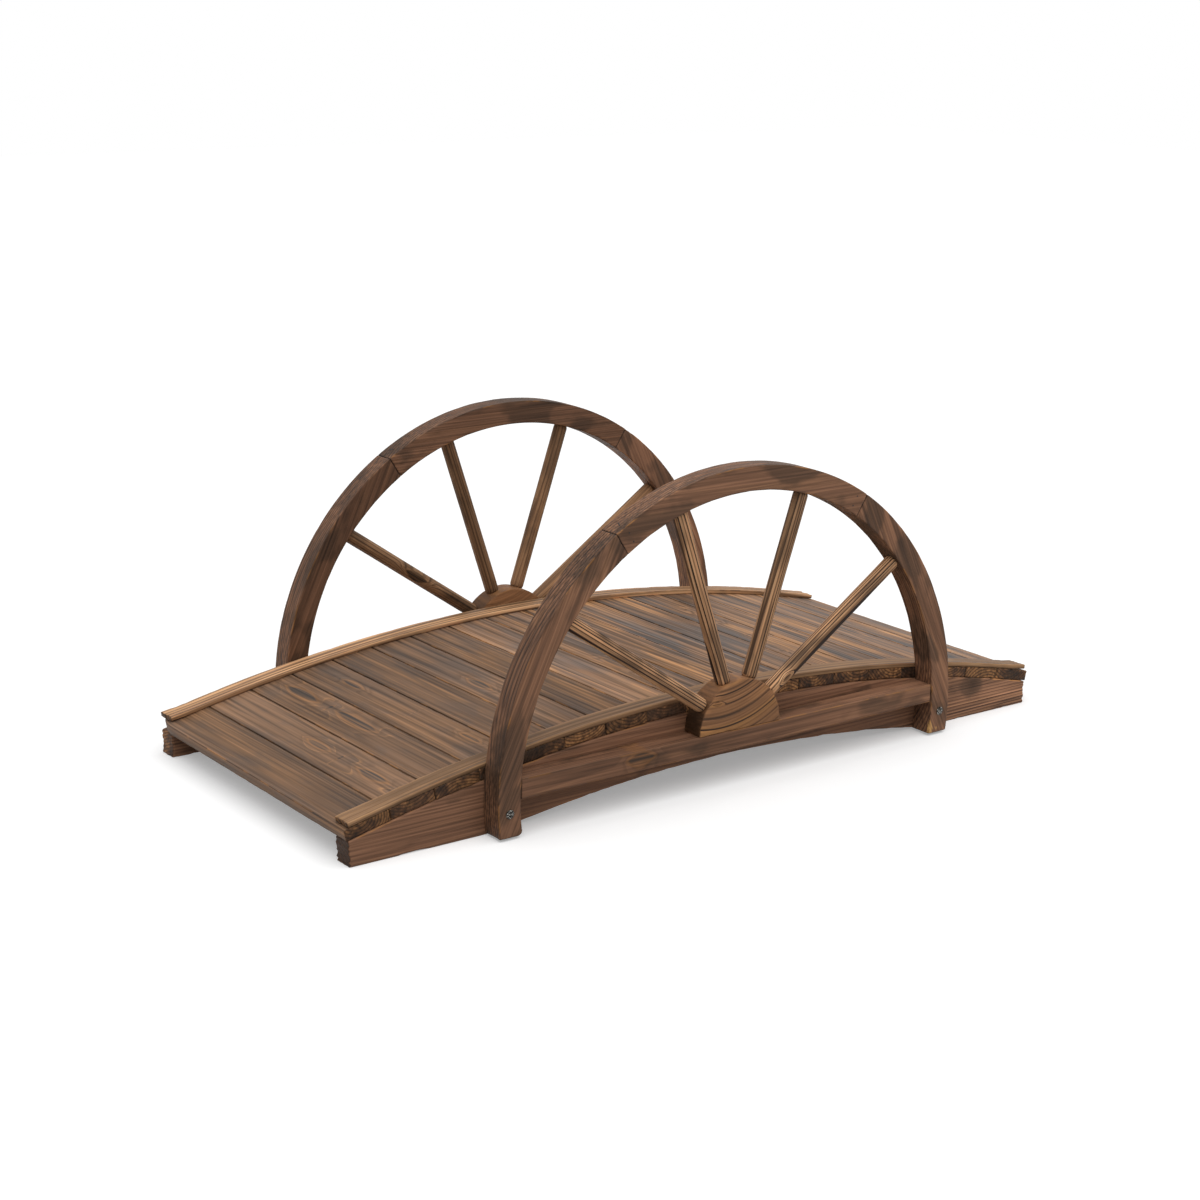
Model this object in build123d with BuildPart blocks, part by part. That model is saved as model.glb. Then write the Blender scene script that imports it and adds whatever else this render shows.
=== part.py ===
"""Arched garden footbridge of stained fir, with half a wagon wheel as the rail on each side.

Frame: +X along the way across, +Y from the near wheel to the far one, +Z up.
The origin lies on the ground under the middle of the deck.
"""
import os
from math import asin, cos, degrees, radians, sin, sqrt, tan

from build123d import *

os.makedirs("parts", exist_ok=True)

# Overall sizes
deck_length = 1000.0
deck_width = 435.0
bridge_height = 370.0

# Stringers: one arched bearer under each edge of the deck
stringer_setback = 4.0
stringer_proud = 1.0
stringer_thickness = 27.0
stringer_end_height = 28.5
stringer_crown_height = 88.5
sole_length = 178.0
belly_rise = 26.5
stringer_corner_radius = 3.0

# Deck boards, laid across the stringers
board_count = 18
board_thickness = 13.0
board_gap = 0.9
board_edge = 0.8
board_seat_clearance = 0.2

# Kerb strips, bent over the board ends
kerb_width = 26.0
kerb_thickness = 5.5
kerb_setback = 4.5
kerb_seat_clearance = 0.3

# Wheel rims, each of three felloes that meet at radial butt joints
rim_outer_radius = 330.0
rim_depth = 28.5
rim_thickness = 29.3
rim_edge = 1.2
joint_angle = 33.0
foot_clearance = 3.0

# Crossbars and hubs, set back from the face of the rim
crossbar_bottom = 43.5
crossbar_height = 22.5
hub_radius = 59.0
hub_edge = 1.2
face_setback = 1.0

# Spokes, turned bars with both ends coped to the curves that they meet
spoke_diameter = 17.5
spoke_standoff = 17.5
lower_spoke_angle = 34.5
upper_spoke_angle = 71.5
coping_clearance = 0.3

# Screws that hold the wheels' legs to the stringers
screw_height = 30.0
screw_head_diameter = 10.0
screw_head_height = 2.2
screw_head_bevel = 0.9
screw_slot_length = 5.6
screw_slot_width = 1.3
screw_slot_depth = 1.2

# The arc of the stringers' backs, which the deck and the kerbs follow
stringer_length = deck_length - 2 * stringer_setback
arch_rise = stringer_crown_height - stringer_end_height
arch_radius = ((stringer_length / 2) ** 2 + arch_rise**2) / (2 * arch_rise)
arch_centre_height = stringer_crown_height - arch_radius

# The deck: equal turns about the arch centre, from one end of the deck to the other
deck_edge = deck_width / 2
board_seat_radius = arch_radius + board_seat_clearance
deck_top_radius = board_seat_radius + board_thickness
deck_half_angle = degrees(asin(deck_length / 2 / deck_top_radius))
board_turn = 2 * deck_half_angle / board_count
board_width = 2 * board_seat_radius * tan(radians(board_turn / 2)) - board_gap

# The wheels: the rim's top is the bridge's height, and the hub sits on the crossbar
wheel_centre = (0, bridge_height - rim_outer_radius)
rim_inner_radius = rim_outer_radius - rim_depth
hub_centre = (0, crossbar_bottom + crossbar_height)
hub_thickness = rim_thickness - face_setback

# Outward sign of each side on the plane of the wheels, whose normal points to the near side
sides = {"near": 1, "far": -1}

# Sign of each hand along the length
hands = {"left": -1, "right": 1}


def wheel_plane(outward, standoff):
    """Plane of a wheel, the given distance outside the stringer's outer face."""
    return Plane.XZ.offset(outward * (deck_edge + stringer_proud + standoff))


# Stringers: flat soles at the ends, a hollowed belly between them and an arched back
for side, outward in sides.items():
    end = stringer_length / 2
    heel = end - sole_length
    with BuildPart() as stringer:
        with BuildSketch(wheel_plane(outward, 0)):
            with BuildLine():
                Polyline((-heel, 0), (-end, 0), (-end, stringer_end_height))
                ThreePointArc(
                    (-end, stringer_end_height), (0, stringer_crown_height), (end, stringer_end_height)
                )
                Polyline((end, stringer_end_height), (end, 0), (heel, 0))
                ThreePointArc((heel, 0), (0, belly_rise), (-heel, 0))
            make_face()
        extrude(amount=-outward * stringer_thickness)
        fillet(stringer.edges().filter_by(Axis.Z), stringer_corner_radius)
    stringer.part.label = f"{side}_stringer"
    export_step(stringer.part, f"parts/{side}_stringer.step")

# Deck boards: flat boards, each square to the arch where it lies, with the top edges eased
for number in range(board_count):
    lean = radians((number + 0.5 - board_count / 2) * board_turn)
    upward = Vector(sin(lean), 0, cos(lean))
    seat_point = Vector(0, 0, arch_centre_height) + upward * board_seat_radius
    with BuildPart() as board:
        with BuildSketch(Plane(origin=seat_point, x_dir=(0, 1, 0), z_dir=upward)):
            Rectangle(deck_width, board_width)
        extrude(amount=board_thickness)
        walking_face = board.faces().sort_by(Axis(seat_point, upward))[-1]
        chamfer(walking_face.edges().filter_by(Axis.Y), board_edge)
    node = f"deck_board_{number + 1:02d}"
    board.part.label = node
    export_step(board.part, f"parts/{node}.step")

# Kerb strips: thin strips bent to the deck's arc, flush with the ends of the boards
kerb_bottom_radius = deck_top_radius + kerb_seat_clearance
kerb_half_angle = degrees(asin((deck_length / 2 - kerb_setback) / kerb_bottom_radius))
for side, outward in sides.items():
    with BuildPart() as kerb:
        with BuildSketch(wheel_plane(outward, -stringer_proud)):
            with BuildLine():
                first_angle = 90 - kerb_half_angle
                arch_centre = (0, arch_centre_height)
                under = CenterArc(arch_centre, kerb_bottom_radius, first_angle, 2 * kerb_half_angle)
                over = CenterArc(
                    arch_centre, kerb_bottom_radius + kerb_thickness, first_angle, 2 * kerb_half_angle
                )
                Line(under @ 0, over @ 0)
                Line(under @ 1, over @ 1)
            make_face()
        extrude(amount=-outward * kerb_width)
    kerb.part.label = f"{side}_kerb_strip"
    export_step(kerb.part, f"parts/{side}_kerb_strip.step")

# Leg felloes: from a flat foot just clear of the ground, up the rim to the butt joint
outer_foot_angle = degrees(asin((foot_clearance - wheel_centre[1]) / rim_outer_radius))
inner_foot_angle = degrees(asin((foot_clearance - wheel_centre[1]) / rim_inner_radius))
for side, outward in sides.items():
    for hand, along in hands.items():
        upright = 90 - along * 90
        reach = 90 - joint_angle
        with BuildPart() as leg:
            with BuildSketch(wheel_plane(outward, 0)):
                with BuildLine():
                    outer = CenterArc(
                        wheel_centre,
                        rim_outer_radius,
                        upright + along * outer_foot_angle,
                        along * (reach - outer_foot_angle),
                    )
                    inner = CenterArc(
                        wheel_centre,
                        rim_inner_radius,
                        upright + along * inner_foot_angle,
                        along * (reach - inner_foot_angle),
                    )
                    Line(outer @ 0, inner @ 0)
                    Line(outer @ 1, inner @ 1)
                make_face()
            extrude(amount=outward * rim_thickness)
            chamfer(leg.edges().filter_by(GeomType.CIRCLE), rim_edge)
        node = f"{side}_{hand}_felloe"
        leg.part.label = node
        export_step(leg.part, f"parts/{node}.step")

# Crown felloes: the top of each rim, between the two butt joints
for side, outward in sides.items():
    with BuildPart() as crown:
        with BuildSketch(wheel_plane(outward, 0)):
            with BuildLine():
                outer = CenterArc(wheel_centre, rim_outer_radius, 90 - joint_angle, 2 * joint_angle)
                inner = CenterArc(wheel_centre, rim_inner_radius, 90 - joint_angle, 2 * joint_angle)
                Line(outer @ 0, inner @ 0)
                Line(outer @ 1, inner @ 1)
            make_face()
        extrude(amount=outward * rim_thickness)
        chamfer(crown.edges().filter_by(GeomType.CIRCLE), rim_edge)
    crown.part.label = f"{side}_crown_felloe"
    export_step(crown.part, f"parts/{side}_crown_felloe.step")

# Crossbars: level bars from leg to leg, their ends coped to the inside of the rim
for side, outward in sides.items():
    with BuildPart() as crossbar:
        with BuildSketch(wheel_plane(outward, 0)):
            with Locations((0, crossbar_bottom)):
                Rectangle(2 * rim_outer_radius, crossbar_height, align=(Align.CENTER, Align.MIN))
            with Locations(wheel_centre):
                Circle(rim_inner_radius - coping_clearance, mode=Mode.INTERSECT)
        extrude(amount=outward * hub_thickness)
    crossbar.part.label = f"{side}_crossbar"
    export_step(crossbar.part, f"parts/{side}_crossbar.step")

# Hubs: half-round blocks that stand on the crossbars
for side, outward in sides.items():
    with BuildPart() as hub:
        with BuildSketch(wheel_plane(outward, 0)):
            with BuildLine():
                round_top = CenterArc(hub_centre, hub_radius, 0, 180)
                Line(round_top @ 1, round_top @ 0)
            make_face()
        extrude(amount=outward * hub_thickness)
        chamfer(hub.edges().filter_by(GeomType.CIRCLE), hub_edge)
    hub.part.label = f"{side}_hub"
    export_step(hub.part, f"parts/{side}_hub.step")

# Spokes: round bars, radial to the hub, set a little forward in the thickness of the rim
spoke_angles = {
    "lower_right": lower_spoke_angle,
    "upper_right": upper_spoke_angle,
    "upper_left": 180 - upper_spoke_angle,
    "lower_left": 180 - lower_spoke_angle,
}
for side, outward in sides.items():
    for place, angle in spoke_angles.items():
        along_spoke = (cos(radians(angle)), 0, sin(radians(angle)))
        root = wheel_plane(outward, spoke_standoff).from_local_coords(hub_centre)
        with BuildPart() as spoke:
            with BuildSketch(Plane(origin=root, z_dir=along_spoke)):
                Circle(spoke_diameter / 2)
            extrude(amount=bridge_height)
            with BuildSketch(wheel_plane(outward, 0)):
                with Locations(wheel_centre):
                    Circle(rim_inner_radius - coping_clearance)
            extrude(amount=outward * rim_thickness, mode=Mode.INTERSECT)
            with BuildSketch(wheel_plane(outward, 0)):
                with Locations(hub_centre):
                    Circle(hub_radius + coping_clearance)
            extrude(amount=outward * rim_thickness, mode=Mode.SUBTRACT)
        node = f"{side}_{place}_spoke"
        spoke.part.label = node
        export_step(spoke.part, f"parts/{node}.step")

# Screws: round heads with a crossed slot, one in the middle of each leg's width
screw_orbit = rim_outer_radius - rim_depth / 2
screw_reach = sqrt(screw_orbit**2 - (screw_height - wheel_centre[1]) ** 2)
for side, outward in sides.items():
    for hand, along in hands.items():
        head_centre = (along * screw_reach, screw_height)
        with BuildPart() as screw:
            with BuildSketch(wheel_plane(outward, rim_thickness)):
                with Locations(head_centre):
                    Circle(screw_head_diameter / 2)
            extrude(amount=outward * screw_head_height)
            crown_edge = screw.edges().sort_by(Axis.Y, reverse=outward < 0)[0]
            chamfer(crown_edge, screw_head_bevel)
            with BuildSketch(wheel_plane(outward, rim_thickness + screw_head_height)):
                with Locations(head_centre):
                    Rectangle(screw_slot_length, screw_slot_width)
                    Rectangle(screw_slot_width, screw_slot_length)
            extrude(amount=-outward * screw_slot_depth, mode=Mode.SUBTRACT)
        node = f"{side}_{hand}_screw"
        screw.part.label = node
        export_step(screw.part, f"parts/{node}.step")
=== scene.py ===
import math
import random

import bpy
import numpy as np
from mathutils import Matrix, Vector


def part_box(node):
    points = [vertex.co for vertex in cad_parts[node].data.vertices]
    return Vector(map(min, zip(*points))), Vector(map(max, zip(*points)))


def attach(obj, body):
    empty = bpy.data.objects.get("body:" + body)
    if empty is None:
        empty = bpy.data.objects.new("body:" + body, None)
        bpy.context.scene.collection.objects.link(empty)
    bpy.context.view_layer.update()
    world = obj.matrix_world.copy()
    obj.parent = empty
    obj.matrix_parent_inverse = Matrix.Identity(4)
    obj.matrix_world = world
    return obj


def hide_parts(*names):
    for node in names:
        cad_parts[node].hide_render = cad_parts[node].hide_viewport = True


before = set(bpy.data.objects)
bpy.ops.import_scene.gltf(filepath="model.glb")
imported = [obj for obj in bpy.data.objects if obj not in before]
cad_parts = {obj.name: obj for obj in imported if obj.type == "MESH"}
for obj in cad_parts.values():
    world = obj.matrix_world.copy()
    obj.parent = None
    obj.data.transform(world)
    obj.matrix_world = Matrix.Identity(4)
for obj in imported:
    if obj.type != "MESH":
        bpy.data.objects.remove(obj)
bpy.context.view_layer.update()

# Stringers: the two arched bearers that carry the deck. Each is sawn in one piece from a straight fir
# plank, so its grain runs level and the arched back and the hollow belly cut across it. The ends are
# left rough from the saw, and the whole bridge is scorched, wire brushed and stained brown.
MM = 0.001
sides = {"near": -1, "far": 1}
stringer_thickness = 27 * MM
stringer_end_height = 28.5 * MM
stringer_crown_height = 88.5 * MM
stringer_blank_height = 45 * MM
stringer_half_length = 496 * MM
stringer_middle = 205 * MM
stringer_tear_mm = 3.4
stringer_tear_reach = 7 * MM
belly_half_length = 318 * MM
belly_rise = 26.5 * MM
arch_rise = stringer_crown_height - stringer_end_height
arch_radius = (stringer_half_length**2 + arch_rise**2) / (2 * arch_rise)
arch_centre = stringer_crown_height - arch_radius
belly_radius = (belly_half_length**2 + belly_rise**2) / (2 * belly_rise)


def linear(code):
    """A colour written as sRGB hex, in linear light."""
    shares = [int(code[place : place + 2], 16) / 255 for place in (1, 3, 5)]
    return [s / 12.92 if s <= 0.04045 else ((s + 0.055) / 1.055) ** 2.4 for s in shares] + [1]


def add(tree, kind, *inputs, stops=(), **settings):
    """Adds one node to a tree with its settings, its ramp's stops, and values or links for its inputs, in
    their order or in a dict by socket. Its kind leaves out the family, such as ShaderNode, and may hold an
    operation after a space."""
    kind, _, operation = kind.partition(" ")
    families = ("ShaderNode", "GeometryNode", "FunctionNode", "")
    made = tree.nodes.new(next(family + kind for family in families if hasattr(bpy.types, family + kind)))
    if operation:
        made.operation = operation
    for name, value in settings.items():
        setattr(made, name, value)
    if stops:
        band = made.color_ramp.elements
        band[0].position, band[0].color = stops[0]
        band[1].position, band[1].color = stops[-1]
        for position, colour in stops[1:-1]:
            band.new(position).color = colour
    for order, source in enumerate(inputs):
        for socket, value in (source if isinstance(source, dict) else {order: source}).items():
            if isinstance(value, bpy.types.Node):
                value = next(out for out in value.outputs if not out.is_unavailable)
            if isinstance(value, bpy.types.NodeSocket):
                tree.links.new(value, made.inputs[socket])
            else:
                made.inputs[socket].default_value = value
    return made


def bare_tree(owner):
    """The node tree of a new material or world, emptied."""
    owner.use_nodes = True
    owner.node_tree.nodes.clear()
    return owner.node_tree


def brushed_fir(name, early, late, pale, bare, char, plug, ring_mm, contrast, tan_share, dusk_share,
                seam_share, fibre_share, smoke_share, edge_wear, knot_oval, line_share=0.5,
                streak_mm=(420, 9), fibre_mm=2.6, edge_painted_gap_shade=0.0):
    """Scorched and wire-brushed fir under a brown stain. Late wood draws thin dark lines with a tan seam
    beside some of them, long tan and smoky streaks run with the grain, smoke from the torch lies over it in
    soft blotches, and bare wood shows along knocked edges. The rings are cylinders round the plank's
    heart, so the faces, the edges and the sawn ends of a piece belong together."""
    material = bpy.data.materials.new(name)
    tree = bare_tree(material)
    grain, knot, finish, marks = (
        add(tree, "Attribute", attribute_name=attribute).outputs["Vector"]
        for attribute in ("grain", "knot", "finish", "marks")
    )
    edge_mm, cut_end, tone = add(tree, "SeparateXYZ", finish).outputs
    figure, smoked, rubbed = add(tree, "SeparateXYZ", marks).outputs

    # Patterns, each as long and as wide in the grain as it is on the bridge. The fibres are drawn two to
    # five times as coarse as real ones, which would be too fine to show.
    noises = {}
    for layer, (long_mm, wide_mm, detail) in {
        "wander": (380, 48, 0.5),
        "fibre": (50 * fibre_mm, fibre_mm, 2.0),
        "streak": (*streak_mm, 2.5),
        "patch": (120, 11, 3.0),
        "smoke": (75, 34, 3.0),
        "stain": (300, 70, 2.0),
        "wear": (30, 10, 3.0),
    }.items():
        laid = add(tree, "VectorMath MULTIPLY", grain, (1 / long_mm, 1 / wide_mm, 1 / wide_mm))
        noises[layer] = add(tree, "TexNoise", {"Vector": laid, "Scale": 1.0, "Detail": detail})
    fibre, patch = noises["fibre"], noises["patch"]

    # The log was not straight: the rings wander some millimetres over its length
    wander = noises["wander"].outputs["Color"]
    shift = add(tree, "VectorMath MULTIPLY_ADD", wander, (0, 13, 13), (0, -6.5, -6.5))
    bent = add(tree, "VectorMath ADD", grain, shift)
    across = add(tree, "VectorMath MULTIPLY", bent, (0, 1, 1))
    radius_mm = add(tree, "VectorMath LENGTH", across)

    # A knot is a ragged lens, pointed along the grain, and the rings bulge round it
    oval = add(tree, "VectorMath MULTIPLY", knot, (knot_oval, 1, 1))
    unsigned = add(tree, "VectorMath ABSOLUTE", oval)
    knot_along, knot_y, knot_z = add(tree, "SeparateXYZ", unsigned).outputs
    knot_over = add(tree, "Math ADD", knot_y, knot_z)
    lens = add(tree, "Math MULTIPLY_ADD", knot_along, knot_along, knot_over)
    ragged = add(tree, "Math MULTIPLY_ADD", patch, 2.0, lens)
    squared = add(tree, "Math POWER", lens, 2.0)
    fall = add(tree, "Math MULTIPLY", squared, -0.25)
    swell = add(tree, "Math EXPONENT", fall)
    swell_mm = add(tree, "Math MULTIPLY_ADD", swell, 9.0, radius_mm)

    # One ring: pale early wood, then a hard late line, and the next ring begins. Each ring draws its own
    # lots for how dark its line is, whether a tan seam follows it and whether it took char.
    ring = add(tree, "Math MULTIPLY", swell_mm, 1 / ring_mm)
    phase = add(tree, "Math FRACT", ring)
    number = add(tree, "Math FLOOR", ring)
    lots = add(tree, "TexWhiteNoise", {"W": number}, noise_dimensions="1D").outputs["Color"]
    line_lot, char_lot, bare_lot = add(tree, "SeparateColor", lots).outputs
    levels = {0.0: 0.5, 0.04: 0.0, 1 - line_share: 0.0, 1 - 0.5 * line_share: 1.0, 0.97: 1.0, 1.0: 0.5}
    greys = [(share, (level, level, level, 1)) for share, level in levels.items()]
    late_line = add(tree, "ValToRGB", phase, stops=greys)
    vigour = add(tree, "MapRange", {"Value": line_lot, "To Min": 0.5 * contrast, "To Max": contrast})
    depth = add(tree, "Math MULTIPLY", late_line, vigour)
    late_mask = add(tree, "Math MULTIPLY", depth, figure)

    # Masks: each is the product of its sources, read between two bounds and up to a top
    smoke = add(tree, "Math ADD", noises["smoke"], smoked)
    bald = add(tree, "Math ADD", fibre, rubbed)
    figured = (figure, 0.0, 1.0, 1.0)
    masks = {"late": late_mask}
    for mask, sources in {
        "tan": ((noises["streak"], 0.5, 0.63, tan_share), figured),
        "dusk": ((noises["streak"], 0.48, 0.36, dusk_share), figured),
        "char": ((patch, 0.57, 0.68, 0.65), (char_lot, 0.3, 0.6, 1.0), figured),
        "seam": ((phase, 0.26, 0.06, seam_share), (bare_lot, 0.35, 0.65, 1.0), (patch, 0.38, 0.55, 1.0)),
        "smoke": ((smoke, 0.5, 0.64, smoke_share),),
        "bald": ((bald, 0.85, 1.15, 0.9),),
        "end": ((cut_end, 0.0, 1.0, 0.9),),
        "joint": ((cut_end, 0.0, -1.0, 0.8),),
        "halo": ((ragged, 2.7, 2.2, 0.32),),
        "plug": ((ragged, 2.1, 1.7, 0.9), (fibre, 0.75, 0.4, 1.0)),
        # Along the deck boards' long arrises, where the boards meet, shade is painted dark
        "painted_gap_shade": ((edge_mm, 1.3, 0.3, edge_painted_gap_shade),),
        "worn": ((noises["wear"], 0.52, 0.63, edge_wear), (edge_mm, 2.0, 0.5, 1.0)),
    }.items():
        for source, low, high, top in sources:
            cover = add(tree, "MapRange", source, low, high, 0.0, top, interpolation_type="SMOOTHSTEP")
            if mask in masks:
                cover = add(tree, "Math MULTIPLY", masks[mask], cover)
            masks[mask] = cover

    # The coats, from the wood up. Sawn ends are gold where they were cut clean and black where the stain
    # soaked in, with every ring drawn on them; butted ends are black with dirt.
    soak = add(tree, "Math MULTIPLY_ADD", patch, 0.4, noises["stain"])
    soaked = add(tree, "ValToRGB", soak,
                 stops=[(0.61, linear("#a2734a")), (0.71, linear("#5e402b")), (0.79, linear("#312117"))])
    end_lines = add(tree, "Math MULTIPLY", late_line, 0.68)
    sawn = {0: end_lines, 6: soaked.outputs["Color"], 7: linear("#1c130d")}
    sawn_colour = add(tree, "Mix", sawn, data_type="RGBA").outputs[2]
    colour = linear(early)
    for mask, code in {
        "tan": pale, "dusk": char, "char": char, "late": late, "seam": pale, "smoke": char, "bald": "#c2965f",
        # the dark coat #281c14 along the deck's arrises is painted shade
        "end": None, "joint": "#1e150f", "halo": bare, "plug": plug, "painted_gap_shade": "#281c14", "worn": bare,
    }.items():
        coat = linear(code) if code else sawn_colour
        colour = add(tree, "Mix", {0: masks[mask], 6: colour, 7: coat}, data_type="RGBA").outputs[2]
    strand = add(tree, "MapRange", fibre, 0.3, 0.7)
    brushed = add(tree, "MapRange", {"Value": figure, "To Min": 0.6 * fibre_share, "To Max": fibre_share})
    fibres = {0: brushed, 6: colour, 7: strand}
    colour = add(tree, "Mix", fibres, data_type="RGBA", blend_type="OVERLAY").outputs[2]
    shade = add(tree, "Math MULTIPLY_ADD", noises["stain"], 0.7, 0.65)
    level = add(tree, "Math MULTIPLY_ADD", tone, 0.3, shade)
    colour = add(tree, "VectorMath SCALE", colour, {"Scale": level})

    # Brushed relief: the late lines stand proud, and loose fibres catch the light
    height = add(tree, "Math MULTIPLY_ADD", strand, 0.6, late_mask)
    relief = add(tree, "Bump", {"Strength": 0.5, "Distance": 0.8 * MM, "Height": height})
    rough = add(tree, "MapRange", {"Value": strand, "To Min": 0.5, "To Max": 0.66})
    surface = {"Base Color": colour, "Roughness": rough, "Normal": relief, "IOR": 1.5,
               "Specular IOR Level": 0.16}
    add(tree, "OutputMaterial", add(tree, "BsdfPrincipled", surface))
    return material


# The frame's wood looks plain and dull, with thin lines, smoke and bare wood along its arrises
frame_fir = brushed_fir(
    "scorched_brushed_fir_frame", early="#86614a", late="#2c1e17", pale="#8f694c", bare="#a3703f",
    char="#433429", plug="#4a3d34", ring_mm=4.0, contrast=1.1, tan_share=0.42, dusk_share=0.45,
    seam_share=0.3, fibre_share=0.6, smoke_share=0.62, edge_wear=0.6, knot_oval=0.45,
)


def new_tree(name, **sockets):
    """A geometry tree that shapes a piece on a guide mesh, with the names of its inputs by kind of socket."""
    tree = bpy.data.node_groups.new(name, "GeometryNodeTree")
    tree.is_modifier = True
    tree.interface.new_socket("Piece", in_out="OUTPUT", socket_type="NodeSocketGeometry")
    for kind, names in {"Geometry": "Guide", **sockets, "Material": "Finish"}.items():
        for socket in names.split(", "):
            tree.interface.new_socket(socket, in_out="INPUT", socket_type=f"NodeSocket{kind}")
    return tree


def end_tree(tree, shape, finish):
    """Ends a tree: its shape is made real and gets its finish."""
    real = add(tree, "RealizeInstances", shape)
    add(tree, "NodeGroupOutput", add(tree, "SetMaterial", real, {"Material": finish}))


def in_scene(name, data):
    """A new object in the scene, at the origin."""
    made = bpy.data.objects.new(name, data)
    bpy.context.scene.collection.objects.link(made)
    return made


def grow(name, guide, tree, **sizes):
    """Shapes a piece on a guide mesh and keeps it as a plain mesh. Each size is given by its input's name, in
    small letters and with underscores."""
    piece = in_scene(name, guide)
    shaping = piece.modifiers.new("shaping", "NODES")
    shaping.node_group = tree
    sockets = {item.name.lower().replace(" ", "_"): item.identifier for item in tree.interface.items_tree}
    for size, value in sizes.items():
        shaping[sockets[size]] = value
    shaped = piece.evaluated_get(bpy.context.evaluated_depsgraph_get())
    piece.data = bpy.data.meshes.new_from_object(shaped)
    piece.data.name = name
    piece.modifiers.remove(shaping)
    bpy.data.meshes.remove(guide)
    return piece


# A sawn bar: a block with as many rows of points as its inputs say, its arrises eased, its faces brushed
# and its edges knocked, laid along a path. Its heart, its knots and its start in the log are in millimetres.
bar_tree = new_tree(
    "sawn_bar",
    Float="Width, Thickness, Arris, End Arris, Crowding, Relief, Knocks, Bow, End Slope, End Tint, Tone, "
    "Figure, Tread Figure, Smoke, Start",
    Int="Rows Along, Rows Across, Rows Through",
    Vector="Side, Heart, Knot Face, Knot A, Knot B",
)


def build_bar_tree(tree):
    """Wires the tree of the sawn bar."""
    given = add(tree, "NodeGroupInput").outputs
    path = add(tree, "MeshToCurve", given["Guide"])
    length = add(tree, "CurveLength", path)
    size = add(tree, "CombineXYZ", length, given["Width"], given["Thickness"])
    half = add(tree, "VectorMath SCALE", size, {"Scale": 0.5})
    rows = [given[f"Rows {way}"] for way in ("Along", "Across", "Through")]
    block = add(tree, "MeshCube", size, *rows).outputs["Mesh"]
    place = add(tree, "InputPosition")

    # Rows of points crowd towards the edges, where the eased arris needs them
    share = add(tree, "VectorMath DIVIDE", place, half)
    turned = add(tree, "VectorMath SCALE", share, {"Scale": math.pi / 2})
    sine = add(tree, "VectorMath SINE", turned)
    pull = add(tree, "VectorMath SUBTRACT", sine, share)
    crowded = add(tree, "VectorMath MULTIPLY_ADD", pull, given["Crowding"], share)
    spread = add(tree, "VectorMath MULTIPLY", crowded, half)

    # Arrises: what lies outside the core block is drawn in to a quarter round
    arris = add(tree, "CombineXYZ", given["End Arris"], given["Arris"], given["Arris"])
    core = add(tree, "VectorMath SUBTRACT", half, arris)
    back = add(tree, "VectorMath SCALE", core, {"Scale": -1.0})
    above = add(tree, "VectorMath MAXIMUM", spread, back)
    inside = add(tree, "VectorMath MINIMUM", above, core)
    outside = add(tree, "VectorMath SUBTRACT", spread, inside)
    scaled = add(tree, "VectorMath DIVIDE", outside, arris)
    aim = add(tree, "VectorMath NORMALIZE", scaled)
    rounded = add(tree, "VectorMath MULTIPLY_ADD", aim, arris, inside)
    shaped = add(tree, "SetPosition", block, {"Position": rounded})

    # Distance to the nearest edge: the middle one of the distances to the three pairs of faces
    depth = add(tree, "VectorMath ABSOLUTE", place)
    gaps = add(tree, "VectorMath SUBTRACT", half, depth)
    gap_x, gap_y, gap_z = add(tree, "SeparateXYZ", gaps).outputs
    least = add(tree, "Math MINIMUM", gap_x, gap_y)
    most = add(tree, "Math MAXIMUM", gap_x, gap_y)
    other = add(tree, "Math MINIMUM", most, gap_z)
    edge = add(tree, "Math MAXIMUM", least, other)
    edge_mm = add(tree, "Math MULTIPLY", edge, 1 / MM)

    # What the finish needs: the distance to the long arrises, which get rubbed, and the cut ends, which
    # show sawn wood where the tint is positive and dirt where it is negative
    beside = add(tree, "Math MAXIMUM", gap_y, gap_z)
    arris_mm = add(tree, "Math MULTIPLY", beside, 1 / MM)
    end = add(tree, "MapRange", gap_x, 1.2 * MM, 0.2 * MM, 0.0, given["End Tint"])
    finish = add(tree, "CombineXYZ", arris_mm, end, given["Tone"])

    # How strongly the figure shows and how much smoke lies on the piece; single spots are put in later
    tread = add(tree, "MapRange", gap_z, 2 * MM, 0.2 * MM, given["Figure"], given["Tread Figure"])
    marks = add(tree, "CombineXYZ", tread, given["Smoke"])

    # The place in the plank, from its heart, with a start of its own for each piece
    place_mm = add(tree, "VectorMath SCALE", place, {"Scale": 1 / MM})
    start = add(tree, "CombineXYZ", given["Start"])
    from_heart = add(tree, "VectorMath SUBTRACT", place_mm, given["Heart"])
    grain = add(tree, "VectorMath ADD", from_heart, start)

    # The place from the nearer of two knots, in knot radii; a knot's last number is its radius
    knots = []
    for name in ("Knot A", "Knot B"):
        along, over, radius = add(tree, "SeparateXYZ", given[name]).outputs
        centre = add(tree, "CombineXYZ", along, over, over)
        away = add(tree, "VectorMath SUBTRACT", place_mm, centre)
        flat = add(tree, "VectorMath MULTIPLY", away, given["Knot Face"])
        inverse = add(tree, "Math DIVIDE", 1.0, radius)
        reach = add(tree, "VectorMath SCALE", flat, {"Scale": inverse})
        knots.append((reach, add(tree, "VectorMath LENGTH", reach)))
    (reach_a, far_a), (reach_b, far_b) = knots
    nearer = add(tree, "Math LESS_THAN", far_b, far_a)
    chosen = {"Switch": nearer, "False": reach_a, "True": reach_b}
    knot = add(tree, "Switch", chosen, input_type="VECTOR")
    for attribute, value in {"finish": finish, "marks": marks, "grain": grain, "knot": knot}.items():
        kept = {"Name": attribute, "Value": value}
        shaped = add(tree, "StoreNamedAttribute", shaped, kept, data_type="FLOAT_VECTOR")

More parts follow.
